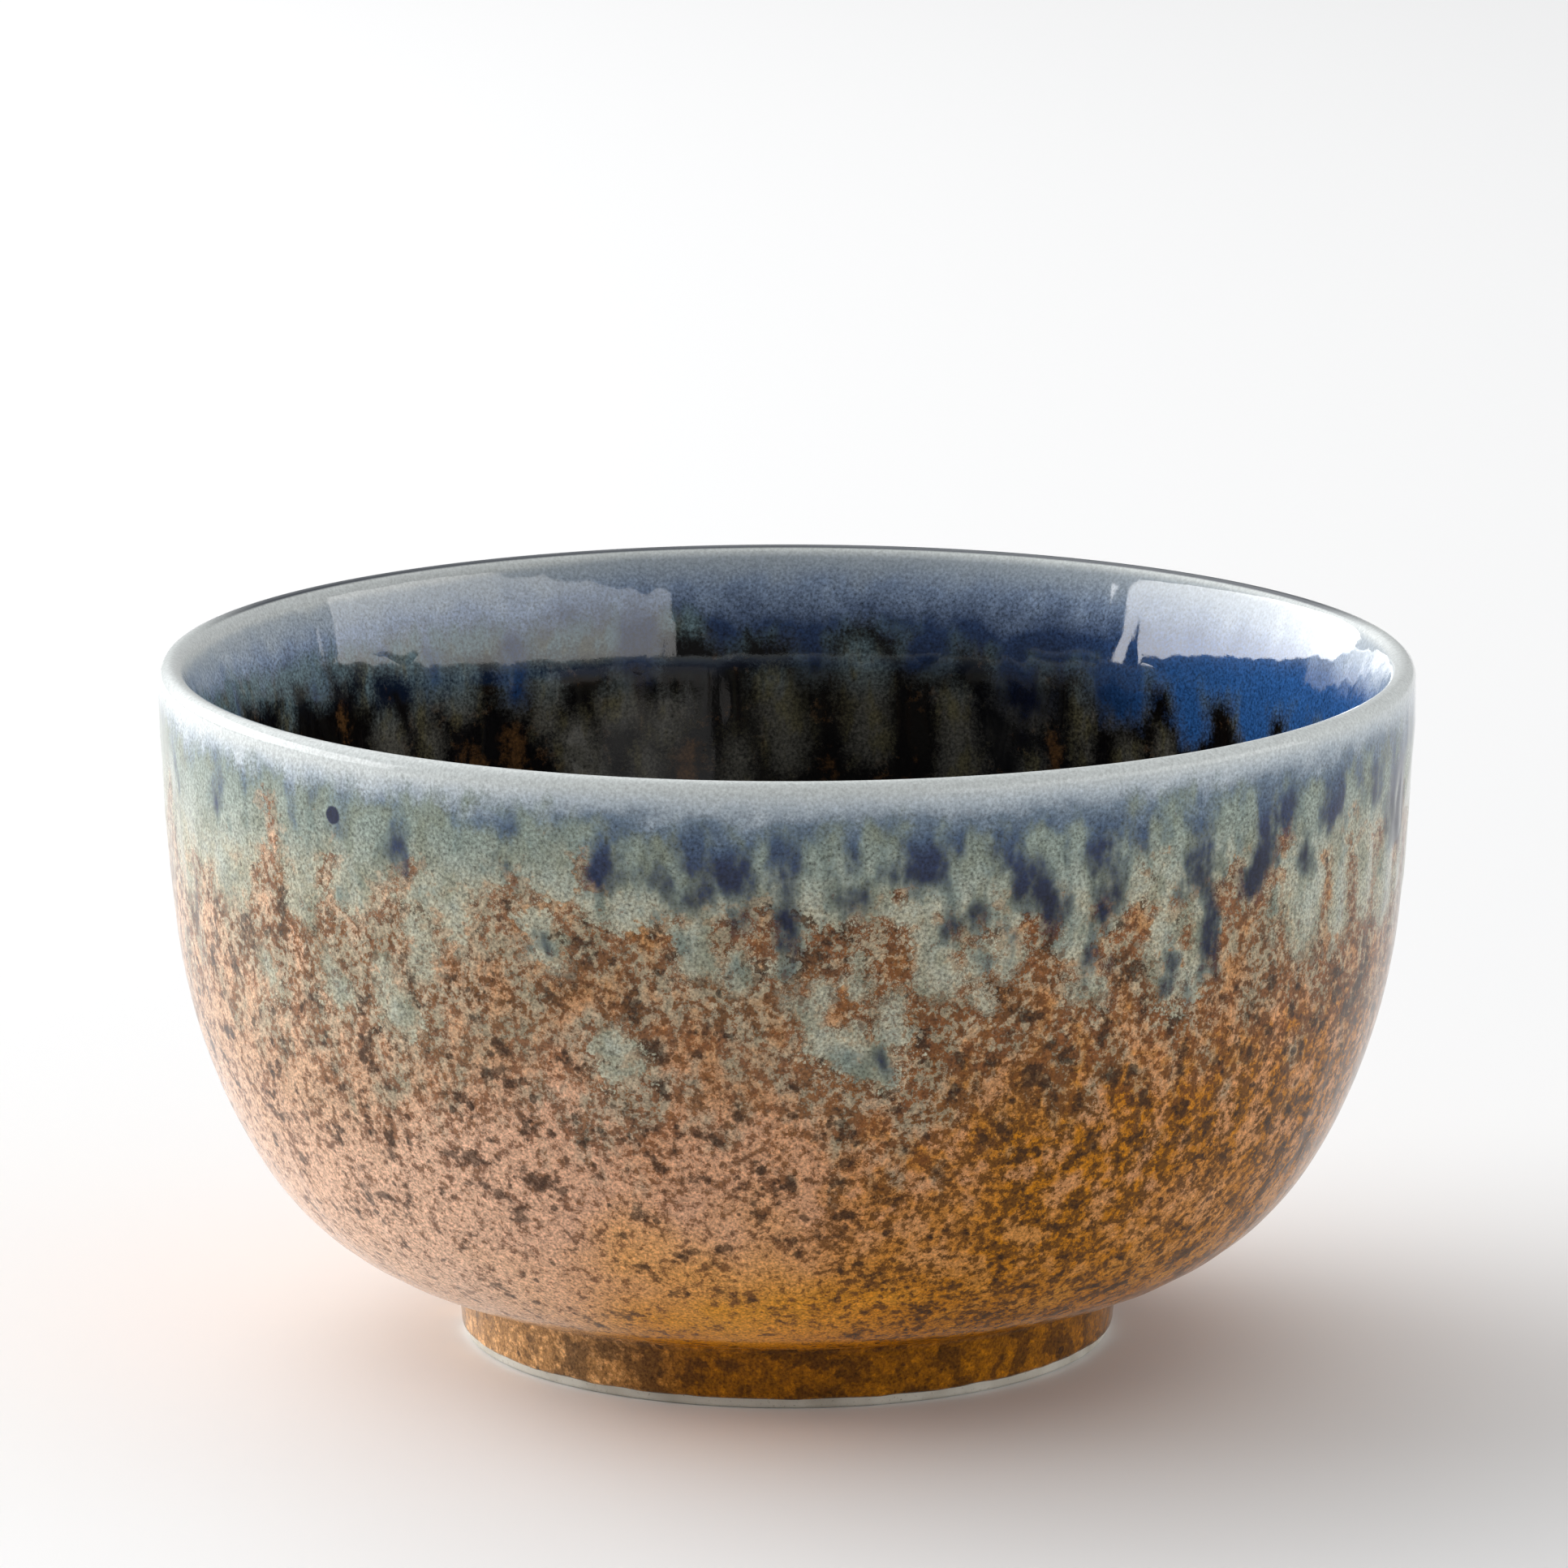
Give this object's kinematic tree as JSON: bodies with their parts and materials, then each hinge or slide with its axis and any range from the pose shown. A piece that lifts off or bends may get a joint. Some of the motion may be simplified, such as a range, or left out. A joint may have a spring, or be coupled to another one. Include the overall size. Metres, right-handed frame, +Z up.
{
  "type": "matcha bowl",
  "caption": "Round tea bowl with upright walls, a rounded belly and a low foot ring, with a blue-grey glaze dripping from the lip over amber, for whisking and drinking matcha.",
  "frame": {"origin": "centre of the circle on which the foot ring stands", "axes": "+Z up along the bowl's axis of turning; X and Y lie in the standing plane, and the side in the reference view faces -Y"},
  "size_m": [0.1202, 0.1202, 0.066],
  "materials": {
    "clay": "bare fired clay, matt, pale grey, fine grain",
    "amber_glaze": "glossy amber to pinkish tan, with fine dark iron specks",
    "blue_glaze": "glossy slate blue to grey, with sage and indigo drips",
    "lining_glaze": "glossy, dark brown to amber, mottled"
  },
  "bodies": {
    "root": {"clay_body": "clay", "foot_ring": "clay", "inner_glaze": "lining_glaze", "outer_glaze": "amber_glaze", "rim_glaze": "blue_glaze", "foot_glaze": "amber_glaze", "recess_glaze": "amber_glaze"}
  },
  "joints": []
}
